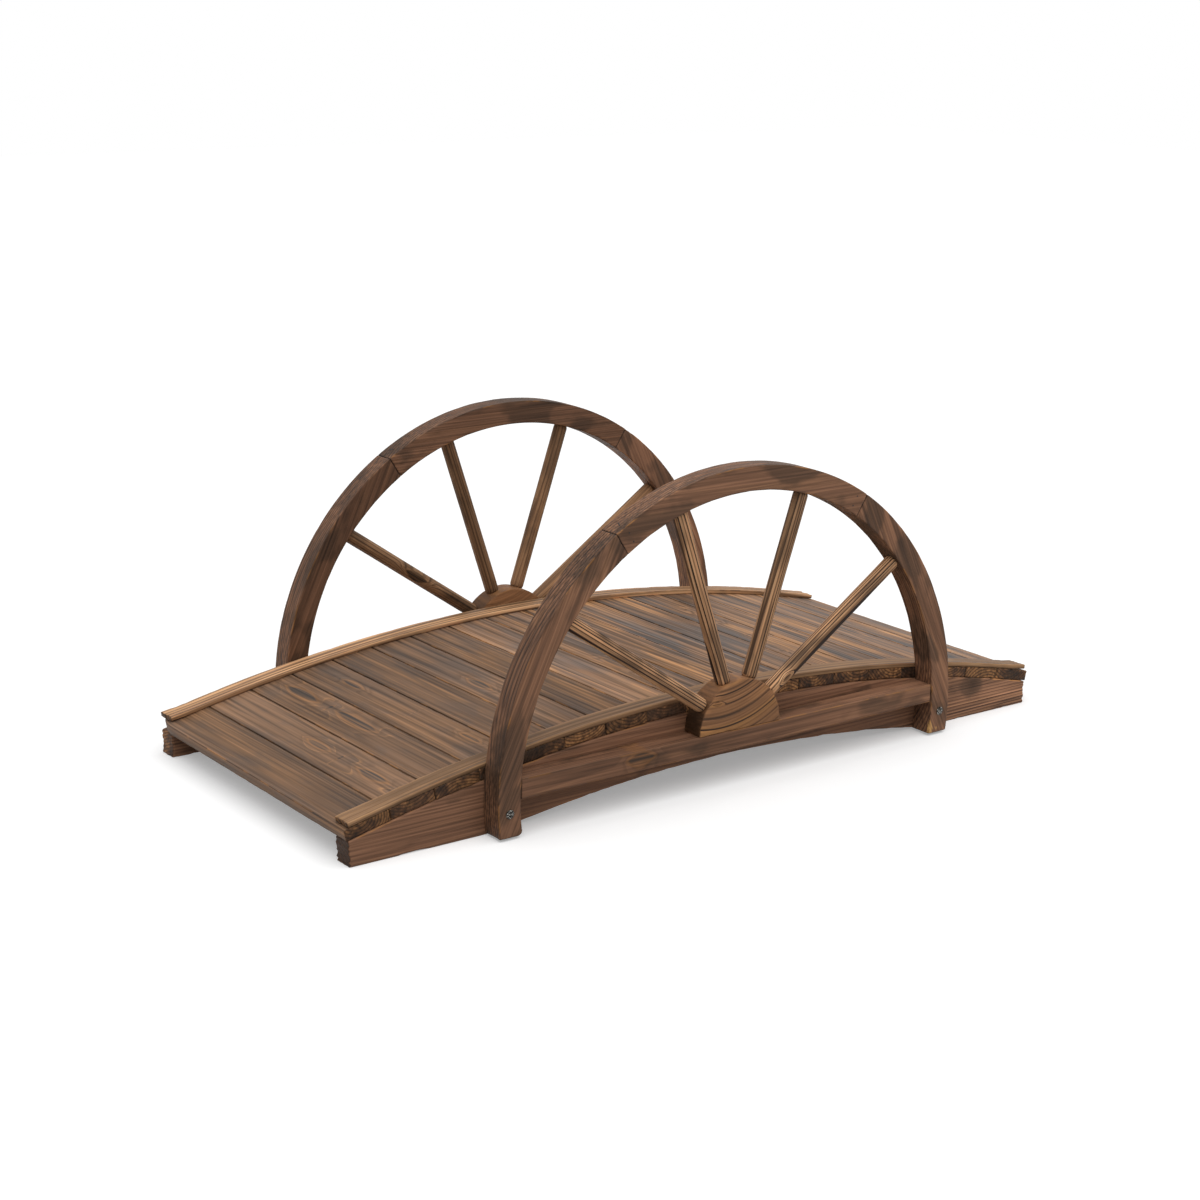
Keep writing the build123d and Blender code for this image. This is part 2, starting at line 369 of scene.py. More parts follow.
    # Brushing, knocks along the edges and a little bow
    moved = {}
    for wear, (long_mm, wide_mm) in {"brush": (70, 6), "knock": (15, 9), "bow": (260, 120)}.items():
        laid = add(tree, "VectorMath MULTIPLY", grain, (1 / long_mm, 1 / wide_mm, 1 / wide_mm))
        moved[wear] = add(tree, "TexNoise", {"Vector": laid, "Scale": 1.0, "Detail": 2.0}).outputs
    brush = add(tree, "Math SUBTRACT", moved["brush"][0], 0.5)
    furrow = add(tree, "Math MULTIPLY", brush, given["Relief"])
    near_edge = add(tree, "MapRange", edge_mm, 4.5, 0.3, interpolation_type="SMOOTHSTEP")
    struck = add(tree, "MapRange", moved["knock"][0], 0.5, 0.8)
    blow = add(tree, "Math MULTIPLY", struck, near_edge)
    dent = add(tree, "Math MULTIPLY", blow, given["Knocks"])
    rise = add(tree, "Math SUBTRACT", furrow, dent)
    outward = add(tree, "InputNormal").outputs["Normal"]
    sway = add(tree, "VectorMath SUBTRACT", moved["bow"][1], (0.5, 0.5, 0.5))
    bowed = add(tree, "VectorMath SCALE", sway, {"Scale": given["Bow"]})
    wear_sum = add(tree, "VectorMath MULTIPLY_ADD", outward, rise, bowed)
    brushed = add(tree, "SetPosition", shaped, {"Offset": wear_sum})

    # Onto the path, with a slant towards a foot's cut; what stands past the path's ends goes straight on
    slant_reach = 70 * MM
    x, y, z = add(tree, "SeparateXYZ", place).outputs
    half_x = add(tree, "SeparateXYZ", half).outputs[0]
    cut_from = add(tree, "Math SUBTRACT", half_x, slant_reach)
    near_cut = add(tree, "MapRange", x, cut_from, half_x)
    slant = add(tree, "Math MULTIPLY", near_cut, given["End Slope"])
    station = add(tree, "Math MULTIPLY_ADD", slant, z, x)
    run = add(tree, "Math ADD", station, half_x)
    on_path = add(tree, "Clamp", run, 0.0, length)
    past = add(tree, "Math SUBTRACT", run, on_path)
    spot = add(tree, "SampleCurve", {"Curves": path, "Length": on_path}, mode="LENGTH").outputs
    upward = add(tree, "VectorMath CROSS_PRODUCT", spot["Tangent"], given["Side"])
    total = spot["Position"]
    for direction, amount in ((spot["Tangent"], past), (given["Side"], y), (upward, z)):
        total = add(tree, "VectorMath MULTIPLY_ADD", direction, amount, total)
    laid_bar = add(tree, "SetPosition", brushed, {"Position": total})
    end_tree(tree, add(tree, "SetShadeSmooth", laid_bar), given["Finish"])


build_bar_tree(bar_tree)
no_knot = (0, 0, 0.001)
bar_habits = {
    "arris": 1.2 * MM, "end_arris": 0.8 * MM, "crowding": 0.75, "relief": 0.5 * MM, "knocks": 1.1 * MM,
    "bow": 0.7 * MM, "end_slope": 0.0, "end_tint": 1.0, "tone": 0.0, "smoke": 0.0, "side": (0, 1, 0),
    "heart": (0, 0, 0), "knot_face": (1, 1, 0), "knot_a": no_knot, "knot_b": no_knot,
}
log_step_mm = 1731.0
bars_sawn = 0


def sawn_bar(node, path, slot, rows, **sizes):
    """Saws one bar along a path of points, to stand for a CAD node. The rows of points that it gets are
    counted along, across and through it."""
    global bars_sawn
    bars_sawn += 1
    guide = bpy.data.meshes.new(f"{node}_path")
    guide.from_pydata([tuple(point) for point in path], [(i, i + 1) for i in range(len(path) - 1)], [])
    counts = dict(zip(("rows_along", "rows_across", "rows_through"), rows))
    lot = {"start": log_step_mm * bars_sawn, "tread_figure": sizes["figure"]}
    piece = grow(f"{node}_fir", guide, bar_tree, **{**bar_habits, **counts, **lot, **sizes})
    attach(piece, "root")
    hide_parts(node)
    return piece


def rows_of(piece, attribute):
    """One of a piece's attributes, such as the places of its points, with three numbers for each point."""
    flat = np.empty(3 * len(piece.data.vertices), np.float32)
    piece.data.attributes[attribute].data.foreach_get("vector", flat)
    return flat.reshape(-1, 3).astype(float)


def put_rows(piece, attribute, rows):
    """Writes rows of three numbers into one of a piece's attributes, but not the places of its points."""
    piece.data.attributes[attribute].data.foreach_set("vector", rows.astype(np.float32).ravel())


def put_points(piece, points):
    """Moves a piece's points. Its box follows only when they are written as vertices."""
    piece.data.vertices.foreach_set("co", points.astype(np.float32).ravel())
    piece.data.update()


def splinter_ends(points, axis, places, half_length, depth_mm, reach):
    """Tears both ends of a bar, to a depth that changes from place to place along one axis."""
    for hand in (-1, 1):
        depth = np.interp(points[:, axis], places, splinter.uniform(0, depth_mm, len(places)))
        at_end = np.clip(1 - (half_length - hand * points[:, 0]) / reach, 0, 1)
        points[:, 0] -= hand * at_end * depth * MM


def lay_grain(piece, centre, along, heart, start):
    """Lays straight grain through a piece that was sawn to its shape from a plank."""
    axes = np.stack([along, (0, 1, 0), np.cross(along, (0, 1, 0))])
    grain = (rows_of(piece, "position") - centre) @ axes.T / MM - heart
    grain[:, 0] += start
    put_rows(piece, "grain", grain)


mark_places = {"figured": ("marks", 0), "smoked": ("marks", 1), "rubbed": ("marks", 2),
               "toned": ("finish", 2)}


def mark(piece, kind, spot, reach, amount):
    """Smokes, rubs, tones or figures a piece round a spot; the reach is how far that goes each way."""
    attribute, channel = mark_places[kind]
    rows = rows_of(piece, attribute)
    away = (rows_of(piece, "position") - spot) / reach
    rows[:, channel] += amount * np.exp(-(away**2).sum(axis=1))
    put_rows(piece, attribute, rows)


splinter = np.random.default_rng(8)
for side, outward in sides.items():
    y = outward * stringer_middle
    ends = [(x, y, stringer_blank_height / 2) for x in (-stringer_half_length, stringer_half_length)]
    stringer = sawn_bar(
        f"{side}_stringer", ends, "frame_fir", (150, 15, 34), finish=frame_fir, width=stringer_thickness,
        thickness=stringer_blank_height, arris=1.6 * MM, end_arris=1.4 * MM, knocks=1.4 * MM, figure=0.28,
        smoke=-0.07,
    )

    # The blank takes the arch on its back and the hollow on its belly
    points = rows_of(stringer, "position")
    x, z = points[:, 0], points[:, 2]
    back = arch_centre + np.sqrt(arch_radius**2 - x**2)
    belly = np.maximum(0, belly_rise - belly_radius + np.sqrt(belly_radius**2 - x**2))
    share = np.clip(z / stringer_blank_height, 0, 1)
    upper = share**2 * (3 - 2 * share)
    points[:, 2] = np.maximum((1 - upper) * (belly + z) + upper * (back + z - stringer_blank_height), 0)
    levels = np.linspace(0, stringer_end_height, 12)
    splinter_ends(points, 2, levels, stringer_half_length, stringer_tear_mm, stringer_tear_reach)
    put_points(stringer, points)
    heart, start = (0, -22 * outward, -52), 900 + 2600 * outward
    lay_grain(stringer, (0, y, 0), (1, 0, 0), heart, start)

    # A burn right of the leg; a strongly figured right end, painted pale as painted light from the right; and
    # painted shade on the belly
    for kind, x, z, reach, amount in (
        ("smoked", 0.402, 0.038, (0.018, 0.03, 0.014), 0.45),
        ("toned", 0.402, 0.04, (0.012, 0.03, 0.012), -3.0),
        ("figured", 0.45, 0.01, (0.12, 0.03, 0.05), 0.8),
        # Painted light: the right end is toned lighter, as if more light fell there
        ("toned", 0.45, 0.01, (0.13, 0.03, 0.05), 4.1),
        # Painted shade: the belly is toned darker, as shade under the deck
        ("toned", -0.15, 0.03, (0.2, 0.03, 0.025), -0.5),
    ):
        mark(stringer, kind, (x, y, z), reach, amount)

# Deck boards: eighteen flat fir boards nailed across the stringers, each square to the arch where it
# lies. They are plain sawn and no two come from the same place in the log, so tones and figure differ.
board_count = 18
board_half_length = 217.5 * MM
board_thickness = 13 * MM
board_gap = 0.9 * MM
board_clearance = 0.2 * MM
board_seat_radius = arch_radius + board_clearance
wane_length = 31.5 * MM
wane_front = 470 * MM
wane_reach = 30 * MM
wane_depth = 9 * MM
deck_half_length = 500 * MM
deck_top_radius = board_seat_radius + board_thickness
deck_half_angle = math.asin(deck_half_length / deck_top_radius)
board_turn = 2 * deck_half_angle / board_count
board_width = 2 * board_seat_radius * math.tan(board_turn / 2) - board_gap

# The deck's wood looks greyer, in broad tan and smoky streaks, with painted shade along its arrises where the
# boards meet
deck_fir = brushed_fir(
    "scorched_brushed_fir_deck", early="#86674f", late="#3a281d", pale="#b08259", bare="#ad7a4c",
    char="#5c5551", plug="#4c4845", ring_mm=3.6, contrast=0.95, streak_mm=(260, 28), tan_share=1.5,
    dusk_share=1.3, seam_share=0.5, fibre_mm=4.4, fibre_share=0.75, smoke_share=0.3, edge_wear=0.6,
    edge_painted_gap_shade=0.75, knot_oval=0.2,
)
eyes = {
    2: {"knot_a": (-15, -3, 5), "knot_b": (-135, -2, 6)},
    3: {"knot_a": (128, -6, 7), "knot_b": (4, -7, 8)},
    4: {"knot_a": (104, -5, 5), "knot_b": (-139, -12, 4)},
    6: {"knot_a": (-12, 3, 5)},
    9: {"knot_a": (-60, 9, 6)},
    13: {"knot_a": (70, -8, 6), "knot_b": (-90, 11, 4)},
    16: {"knot_a": (-20, -10, 7)},
}
tones = {1: -1.2, 2: 0.1, 3: -0.4, 4: -0.6, 5: -1.2, 6: -0.2, 7: -1.1, 8: 1.1}
usual_tone = 0.05
log = random.Random(5)
for number in range(1, board_count + 1):
    lean = (number - 0.5 - board_count / 2) * board_turn
    lift = board_seat_radius + board_thickness / 2 + log.uniform(-0.2, 0.25) * MM
    x, z = lift * math.sin(lean), arch_centre + lift * math.cos(lean)
    slip = log.uniform(-0.7, 0.7) * MM
    heart_side = log.choice((-1, 1, 1))
    tone = log.uniform(-0.3, 0.3) + tones.get(number, usual_tone)
    # The figure is stronger from the middle of the deck on
    figure = log.uniform(0.15, 0.35) + 0.3 * min(1, max(0, number - 6) / 3)
    heart = (0, log.uniform(-14, 14), heart_side * log.uniform(14, 45))
    board = sawn_bar(
        f"deck_board_{number:02d}", [(x, slip + end, z) for end in (-board_half_length, board_half_length)],
        "deck_fir", (66, 30, 11), finish=deck_fir, side=(-math.cos(lean), 0, math.sin(lean)),
        width=board_width, thickness=board_thickness, tone=tone, figure=figure, heart=heart, bow=0.5 * MM,
        knocks=0.5 * MM, **eyes.get(number, {}),
    )
    if number == 1:
        # The far front corner of the first board kept the round of the log, and its nose is rubbed pale
        points = rows_of(board, "position")
        wane = np.clip((points[:, 1] - board_half_length + wane_length) / wane_length, 0, 1) ** 2
        front = np.clip((-points[:, 0] - wane_front) / wane_reach, 0, 1)
        points[:, 0] += wane_depth * wane * front
        put_points(board, points)
        mark(board, "toned", (-0.503, 0, 0.034), (0.006, 1, 1), 1.7)

# Kerb strips: thin fir strips sprung over the ends of the boards and pinned down. They were stained
# last and rubbed hard, so they are the palest wood on the bridge, and their ends are rough.
kerb_width = 26 * MM
kerb_thickness = 5.5 * MM
kerb_middle = 204.5 * MM
kerb_half_length = 495.5 * MM
kerb_top_half_length = 497 * MM
kerb_tip_share = 0.1
kerb_springs = (2.2 * MM, 1.2 * MM)
kerb_tear_mm = 3.0
kerb_tear_reach = 9 * MM
kerb_clearance = 0.3 * MM
kerb_bottom_radius = deck_top_radius + kerb_clearance
kerb_radius = kerb_bottom_radius + kerb_thickness / 2
kerb_half_angle = math.asin(kerb_half_length / kerb_bottom_radius)

# The kerbs' wood looks pale and yellow, with a few dark lines and bare edges
kerb_fir = brushed_fir(
    "rubbed_brushed_fir_kerb", early="#bd926b", late="#40291b", pale="#cfa077", bare="#cb996c",
    char="#76583f", plug="#4a3527", ring_mm=5.4, contrast=1.1, streak_mm=(500, 8), tan_share=0.6,
    dusk_share=0.7, seam_share=0.6, fibre_mm=4.5, fibre_share=0.6, smoke_share=0.3, edge_wear=0.7,
    knot_oval=0.3,
)
for side, tone, figure in (("near", -1.15, 0.35), ("far", 0.3, 0.75)):
    # The tips have sprung up a little from the last boards
    y = sides[side] * kerb_middle
    shares = np.linspace(-1, 1, 129)
    tips = np.clip(np.abs(shares) - 1 + kerb_tip_share, 0, 1) / kerb_tip_share
    spring = np.where((shares > 0) == (side == "near"), *kerb_springs)
    radii, angles = kerb_radius + spring * tips**2, kerb_half_angle * shares
    path = [(r * math.sin(a), y, arch_centre + r * math.cos(a)) for r, a in zip(radii, angles)]
    kerb = sawn_bar(
        f"{side}_kerb_strip", path, "kerb_fir", (150, 21, 7), finish=kerb_fir, width=kerb_width,
        thickness=kerb_thickness, tone=tone, figure=figure, heart=(0, 24, -22), end_arris=0.3 * MM,
        bow=0.5 * MM, knocks=0.9 * MM,
    )
    if side == "near":
        # The near strip is darker by the wheel's legs
        mark(kerb, "toned", (-0.3, y, 0.08), (0.09, 0.1, 0.1), -0.8)
        mark(kerb, "toned", (0.24, y, 0.08), (0.06, 0.1, 0.1), -0.3)
    points = rows_of(kerb, "position")
    places = y + np.linspace(-1, 1, 10) * kerb_width / 2
    splinter_ends(points, 1, places, kerb_top_half_length, kerb_tear_mm, kerb_tear_reach)
    put_points(kerb, points)

# Rims: each wheel's half rim is three felloes, sawn to the curve from straight fir planks and butted end to
# end, the two legs standing just clear of the ground. Their grain runs with the chord of each felloe.
wheel_seat = 218.5 * MM
wheel_centre = 40 * MM
rim_radius = 330 * MM
rim_depth = 28.5 * MM
rim_thickness = 29.3 * MM
rim_inner_radius = rim_radius - rim_depth
rim_middle_radius = rim_radius - rim_depth / 2
rim_y = wheel_seat + rim_thickness / 2
joint_angle = math.radians(33)
foot_height = 3 * MM
foot_round = 6 * MM
foot_slope = (wheel_centre - foot_height) / rim_middle_radius
foot_angle = math.radians(90) + math.asin(foot_slope)
stain_depth = 2 * MM
felloes = {"left": (-joint_angle, -foot_angle, foot_slope), "crown": (-joint_angle, joint_angle, 0.0),
           "right": (joint_angle, foot_angle, -foot_slope)}

# For each felloe: the log's heart, the strength of its figure, its tone, the tones that its tread and its
# inside have besides, and the spots that the torch has smoked
planks = {
    "near_left": ((0, 80, 30), 0.28, 0.12, (-1.1, 0.0), ((-0.301, 0.090),)),
    "near_crown": ((0, 95, -12), 0.22, 0.45, (-0.4, 0.0), ((0.058, 0.357), (0.102, 0.350), (0.135, 0.332))),
    "near_right": ((0, 85, 20), 0.35, 0.32, (0.0, -0.7), ((0.187, 0.290), (0.245, 0.235), (0.292, 0.120))),
    "far_left": ((0, 80, 10), 0.3, -1.25, (0.6, 0.0), ((-0.214, 0.266), (-0.262, 0.205), (-0.297, 0.120))),
    "far_crown": ((0, -90, 25), 0.3, -0.25, (-1.0, 0.0), ((0.012, 0.348), (0.105, 0.335), (-0.150, 0.300))),
    "far_right": ((0, 80, -25), 0.35, 1.0, (0.0, 1.4), ((0.190, 0.292), (0.270, 0.200))),
}
for name, (heart, figure, tone, (tread_tone, inside_tone), smoke_spots) in planks.items():
    side, place = name.split("_")
    first, last, slope = felloes[place]
    y = sides[side] * rim_y
    path = [(rim_middle_radius * math.sin(a), y, wheel_centre + rim_middle_radius * math.cos(a))
            for a in np.linspace(first, last, 97)]
    felloe = sawn_bar(
        f"{name}_felloe", path, "frame_fir", (84, 20, 20), finish=frame_fir, width=rim_thickness,
        thickness=rim_depth, tone=tone, figure=figure, tread_figure=0.75, bow=0.25 * MM, knocks=0.5 * MM,
        end_arris=0.7 * MM, end_slope=slope, end_tint=-1.0,
    )
    chord = (Vector(path[-1]) - Vector(path[0])).normalized()
    lay_grain(felloe, path[len(path) // 2], chord, heart, 1300 * bars_sawn)
    for x, z in smoke_spots:
        mark(felloe, "smoked", (x, y, z), (0.02, 0.03, 0.02), 0.2)
    points = rows_of(felloe, "position")
    from_inside = np.hypot(points[:, 0], points[:, 2] - wheel_centre) - rim_inner_radius
    finish = rows_of(felloe, "finish")
    finish[:, 2] += tread_tone * np.clip(1 - (rim_depth - from_inside) / stain_depth, 0, 1)
    finish[:, 2] += inside_tone * np.clip(1 - from_inside / stain_depth, 0, 1)
    put_rows(felloe, "finish", finish)
    if name == "near_right":
        # A splinter has come off the inner corner of this foot, and its front is chipped
        mark(felloe, "rubbed", (0.3005, -0.247, 0.006), (0.004, 0.004, 0.017), 1.0)
        mark(felloe, "rubbed", (0.313, -0.248, 0.009), (0.008, 0.003, 0.004), 0.5)
    if name == "near_left":
        # The figure is strong below this joint, and the inner corner of the foot is rounded off
        mark(felloe, "figured", (-0.2, -0.248, 0.282), (0.045, 0.03, 0.045), 0.45)
        left_of_round = np.clip(foot_round - from_inside, 0, foot_round)
        lifted = foot_round - np.sqrt(foot_round**2 - left_of_round**2)
        points[:, 2] += lifted * np.clip(1 - (points[:, 2] - foot_height) / (4 * foot_round), 0, 1)
        put_points(felloe, points)

# Crossbars: level fir bars from leg to leg, scribed to the inside of the rim. A hub stands on the middle of
# each, and one knot shows in the face.
crossbar_height = 22.5 * MM
crossbar_middle = 54.75 * MM
crossbar_half_length = 300.4 * MM
hub_thickness = 28.3 * MM
crossbar_y = wheel_seat + hub_thickness / 2
for side, outward in sides.items():
    y = outward * crossbar_y
    crossbar = sawn_bar(
        f"{side}_crossbar", [(x, y, crossbar_middle) for x in (-crossbar_half_length, crossbar_half_length)],
        "frame_fir", (90, 18, 16), finish=frame_fir, width=hub_thickness, thickness=crossbar_height,
        tone=-0.05, figure=0.25, smoke=-0.04, heart=(0, 70 * outward, 6), bow=0.4 * MM, knocks=0.6 * MM,
        end_tint=-1.0, knot_face=(1, 0, 1), knot_a=(-141, 3, 8),
    )
    # Painted light and shade: the right half is toned lighter and the left half darker, as light falling more
    # on the right
    for x, amount in ((0.18, 0.7), (-0.18, -0.85)):
        mark(crossbar, "toned", (x, y, crossbar_middle), (0.15, 0.05, 0.05), amount)

# Spokes: round bars turned from straight-grained fir, so that late wood runs down them in hard stripes.
# Both ends are let a little way into the hub and the rim.
spoke_diameter = 17.5 * MM
spoke_y = 236 * MM
spoke_tenon = 2.5 * MM
hub_height = 66 * MM
hub_radius = 59 * MM

# The spokes' wood looks pale, with hard dark stripes
spoke_fir = brushed_fir(
    "scorched_brushed_fir_spoke", early="#b98b65", late="#291b13", pale="#cda27a", bare="#c6966a",
    char="#3c2f26", plug="#2c1f17", ring_mm=3.3, line_share=0.48, contrast=1.2, streak_mm=(300, 7),
    tan_share=0.5, dusk_share=0.35, seam_share=0.7, fibre_mm=2.0, fibre_share=0.5, smoke_share=0.45,
    edge_wear=0.2, knot_oval=0.3,
)
spoke_degrees = {"lower_right": 34.5, "upper_right": 71.5, "upper_left": 108.5, "lower_left": 145.5}
turned = {
    "near_lower_right": {"heart": (0, 42, 26), "tone": 0.7, "knot_a": (-88, 0, 2.2)},
    "near_upper_right": {"heart": (0, -14, 46), "tone": -0.1},
    "near_upper_left": {"heart": (0, 10, 62), "tone": 1.0},
    "near_lower_left": {"heart": (0, 12, -50), "tone": 0.7},
    "far_lower_right": {"heart": (0, -20, 44), "tone": -0.6},
    "far_upper_right": {"heart": (0, 8, -70), "tone": -1.1},
    "far_upper_left": {"heart": (0, -12, 55), "tone": -1.6},
    "far_lower_left": {"heart": (0, 6, 40), "tone": -1.4, "knot_a": (-6, 0, 6)},
}

# The torch has licked along one side of some: how far off the middle, at which shares of the length, how dark
scorched = {
    "near_lower_left": ((0.0025, -0.0035, 0.0065), (0.33, 0.37, 0.44, 0.51, 0.59, 0.63, 0.75, 0.79), -2.6),
    "near_upper_right": ((-0.008, -0.002, 0.003), np.linspace(0.1, 0.8, 22), -0.25),
    "near_upper_left": ((-0.008, -0.002, 0.003), np.linspace(0.1, 0.8, 22), -0.3),
    "far_upper_left": ((-0.004, -0.007, 0.002), np.linspace(0.05, 0.9, 28), -0.4),
    "far_lower_left": ((-0.002, -0.008, 0.002), (0.05, 0.1, 0.15, 0.2), -1.2),
}
for name, habits in turned.items():
    side, place = name.split("_", 1)
    angle = math.radians(spoke_degrees[place])
    aim = Vector((math.cos(angle), 0, math.sin(angle)))
    root = Vector((0, sides[side] * spoke_y, hub_height))
    sink = hub_height - wheel_centre
    reach = -sink * aim.z + math.sqrt(rim_inner_radius**2 - (sink * aim.x) ** 2)
    ends = [root + aim * (hub_radius - spoke_tenon), root + aim * (reach + spoke_tenon)]
    spoke = sawn_bar(
        f"{name}_spoke", ends, "frame_fir", (44, 11, 11), finish=spoke_fir, width=spoke_diameter,
        thickness=spoke_diameter, figure=1.0 if side == "near" else 0.5, crowding=0.0,
        arris=spoke_diameter / 2, knocks=0.0, bow=0.4 * MM, knot_face=(1, 0, 1), end_tint=-1.0, **habits,
    )
    burnt_side, shares, burn = scorched.get(name, ((0, 0, 0), (), 0))
    for share in shares:
        burnt = ends[0].lerp(ends[1], share) + Vector(burnt_side)
        mark(spoke, "toned", burnt, (0.008, 0.005, 0.005), burn)

# Hubs: half-round fir blocks that stand on the crossbars. They are cut from broad plain-sawn stock, so the
# rings sweep over the face in bold arcs.
hub_heart_x_mm, hub_heart_z_mm = -32, 225
hub_knot_x_mm, hub_knot_z_mm, hub_knot_radius_mm = -34.5, 101.1, 2.9
hub_turn_mm = 120
hub_slant = 0.2
hub_round_depth = 1.5 * MM
# Painted shade on the hub's round, more of it low down on the left, and how much plainer the round is
round_painted_shade, low_left_painted_shade, round_plain = 0.5, 2.2, 0.8

# The hubs' wood looks warm, with few rings, each a broad dark band
hub_fir = brushed_fir(
    "scorched_brushed_fir_hub", early="#a2734f", late="#21150f", pale="#b98450", bare="#a87648",
    char="#4c3a2d", plug="#2e2018", ring_mm=11.5, line_share=0.2, contrast=1.25, tan_share=0.6,
    dusk_share=0.5, seam_share=0.35, fibre_share=0.45, smoke_share=0.3, edge_wear=0.5, knot_oval=0.4,
)
for side, outward in sides.items():
    y = outward * crossbar_y
    hub = sawn_bar(
        f"{side}_hub", [(x, y, hub_height + hub_radius / 2) for x in (-hub_radius, hub_radius)], "frame_fir",
        (64, 18, 36), finish=hub_fir, width=hub_thickness, thickness=hub_radius, end_arris=1.2 * MM,
        crowding=0.6, figure=1.0,
    )
    points = rows_of(hub, "position")
    wide, high = points[:, 0] / hub_radius, np.maximum(points[:, 2] - hub_height, 0) / hub_radius
    points[:, 0] = hub_radius * wide * np.sqrt(np.maximum(1 - high**2 / 2, 0))
    points[:, 2] = hub_height + hub_radius * high * np.sqrt(np.maximum(1 - wide**2 / 2, 0))
    put_points(hub, points)

    # The rings turn about the log's heart, which lay above the block and to its left
    x_mm, y_mm, z_mm = points.T / MM
    off_x, off_z = x_mm - hub_heart_x_mm, z_mm - hub_heart_z_mm
    round_mm = np.arctan2(off_z, off_x) * hub_turn_mm
    put_rows(hub, "grain", np.stack([round_mm, np.hypot(off_x, off_z), y_mm * hub_slant], axis=1))
    none = np.zeros(len(points))
    knot = np.stack([x_mm - hub_knot_x_mm, none, z_mm - hub_knot_z_mm], axis=1) / hub_knot_radius_mm
    put_rows(hub, "knot", knot)

    # The round is plainer than the face and carries painted shade, most of all low down on the left; the far
    # hub is plainer and darker all over
    from_face = hub_thickness / 2 - np.abs(points[:, 1] - y)
    from_round = hub_radius - np.hypot(points[:, 0], points[:, 2] - hub_height)
    plain = 1.0 if side == "far" else 0.0
    on_round = np.clip(1 - from_round / hub_round_depth, 0, 1)
    low_left = np.clip(-points[:, 0] / hub_radius, 0, 1) ** 2
    # The round's share of this tone is painted shade; the far hub's share is its darker wood
    tone = -on_round * (round_painted_shade + low_left_painted_shade * low_left) - plain
    put_rows(hub, "finish", np.stack([np.maximum(from_face, from_round) / MM, none, tone], axis=1))
    put_rows(hub, "marks", np.stack([1 - round_plain * np.maximum(on_round, plain), none, none], axis=1))
    for kind, amount in (("smoked", 0.3), ("figured", -0.6)):
        mark(hub, kind, (0.045, y, 0.072), (0.035, 0.05, 0.018), amount)

# Screws: one blackened steel pan-head screw through the foot of each leg into the stringer, driven by a
# crossed recess. The heads sit on the face of the rim, and each was left at its own turn. The steel is black,
# with bright patches in its colour that are painted highlights.
screw_sizes = {"head_radius": 5 * MM, "head_height": 2.2 * MM, "recess_length": 5.6 * MM,
               "recess_width": 1.3 * MM, "recess_depth": 1.3 * MM}
screw_rim_fall = 0.62
screw_glint = 1.2 * MM
blackened_steel = bpy.data.materials.new("blackened_steel_screw")
steel_tree = bare_tree(blackened_steel)
steel_place = add(steel_tree, "TexCoord").outputs["Object"]
# Painted highlights: the bright end of this noise draws pale patches into the steel's colour
glint = add(steel_tree, "TexNoise", {"Vector": steel_place, "Scale": 1 / screw_glint, "Detail": 3.0})
steel_tint = add(steel_tree, "ValToRGB", glint,
                 stops=[(0.42, linear("#151412")), (0.54, linear("#3b3835")), (0.64, linear("#b4b1aa"))])
steel_gloss = add(steel_tree, "MapRange", {"Value": glint, "To Min": 0.15, "To Max": 0.35})
steel = {"Base Color": steel_tint, "Roughness": steel_gloss, "Metallic": 0.85}
add(steel_tree, "OutputMaterial", add(steel_tree, "BsdfPrincipled", steel))

# The head: a disc whose top is drawn down to a rim, as the die leaves it
screw_tree = new_tree(
    "pan_head_screws", Float="Head Radius, Head Height, Recess Length, Recess Width, Recess Depth"
)
given = add(screw_tree, "NodeGroupInput").outputs
blank = {"Vertices": 40, "Side Segments": 2, "Fill Segments": 10, "Radius": given["Head Radius"],
         "Depth": given["Head Height"]}
disc = add(screw_tree, "MeshCylinder", blank).outputs["Mesh"]
disc_place = add(screw_tree, "InputPosition")
flat_place = add(screw_tree, "VectorMath MULTIPLY", disc_place, (1, 1, 0))
out_from_axis = add(screw_tree, "VectorMath LENGTH", flat_place)
out_share = add(screw_tree, "Math DIVIDE", out_from_axis, given["Head Radius"])
steepening = add(screw_tree, "Math POWER", out_share, 3.0)
level_share = add(screw_tree, "Math MULTIPLY_ADD", steepening, -screw_rim_fall, 1.0)
disc_z = add(screw_tree, "SeparateXYZ", disc_place).outputs["Z"]
above_seat = add(screw_tree, "Math MULTIPLY_ADD", given["Head Height"], 0.5, disc_z)
domed_z = add(screw_tree, "Math MULTIPLY", above_seat, level_share)
dome_up = add(screw_tree, "CombineXYZ", {"Z": domed_z})
dome_place = add(screw_tree, "VectorMath ADD", flat_place, dome_up)
dome = add(screw_tree, "SetPosition", disc, {"Position": dome_place})

# The crossed recess, cut by two crossed bars
crossed = add(screw_tree, "JoinGeometry")
deep = add(screw_tree, "Math MULTIPLY", given["Recess Depth"], 2.0)
for across_x, across_y in (("Recess Length", "Recess Width"), ("Recess Width", "Recess Length")):
    bar_size = add(screw_tree, "CombineXYZ", given[across_x], given[across_y], deep)
    bar = add(screw_tree, "MeshCube", bar_size).outputs["Mesh"]
    bar_level = add(screw_tree, "CombineXYZ", {"Z": given["Head Height"]})
    bar_up = add(screw_tree, "Transform", bar, {"Translation": bar_level})
    screw_tree.links.new(bar_up.outputs[0], crossed.inputs[0])
head = add(screw_tree, "MeshBoolean DIFFERENCE", {"Mesh 1": dome, "Mesh 2": crossed}).outputs["Mesh"]

